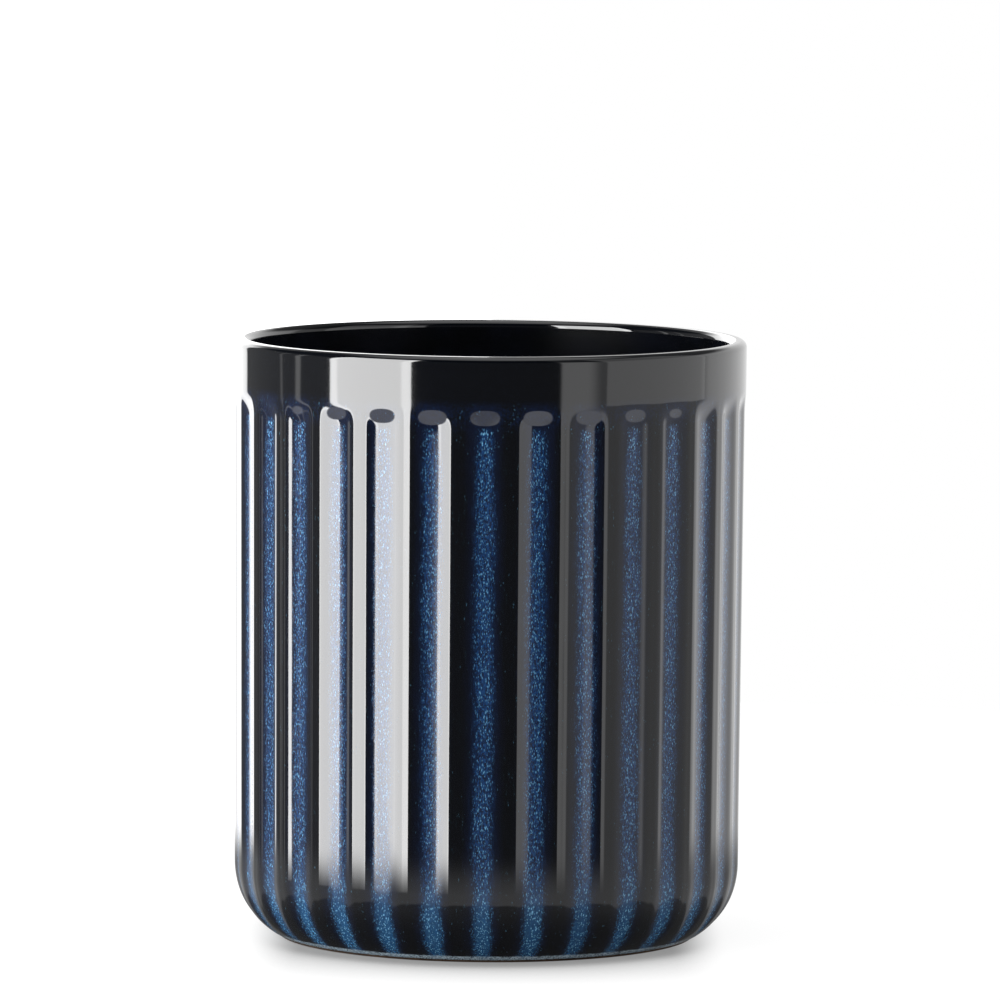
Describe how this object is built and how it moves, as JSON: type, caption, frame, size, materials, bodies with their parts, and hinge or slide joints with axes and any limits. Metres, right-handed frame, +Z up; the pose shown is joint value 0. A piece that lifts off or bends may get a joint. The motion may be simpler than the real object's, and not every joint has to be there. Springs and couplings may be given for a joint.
{
  "type": "utensil crock",
  "caption": "Tall round stoneware crock for kitchen utensils, with a fluted outside, a plain band under its rounded lip, a rounded lower corner and a bare foot ring.",
  "frame": {"origin": "centre of the foot, on the surface that the crock stands on", "axes": "+Z up along the crock's axis, +X through the middle of one flute"},
  "size_m": [0.1524, 0.1524, 0.178],
  "materials": {
    "outer_glaze": "gloss, dark navy with mid blue in the flutes",
    "liner_glaze": "gloss black",
    "base_glaze": "gloss, dark navy",
    "bare_clay": "matte, unglazed foot ring"
  },
  "bodies": {
    "root": {"stoneware_body": "outer_glaze", "liner_glaze": "liner_glaze", "base_glaze": "base_glaze"}
  },
  "joints": []
}
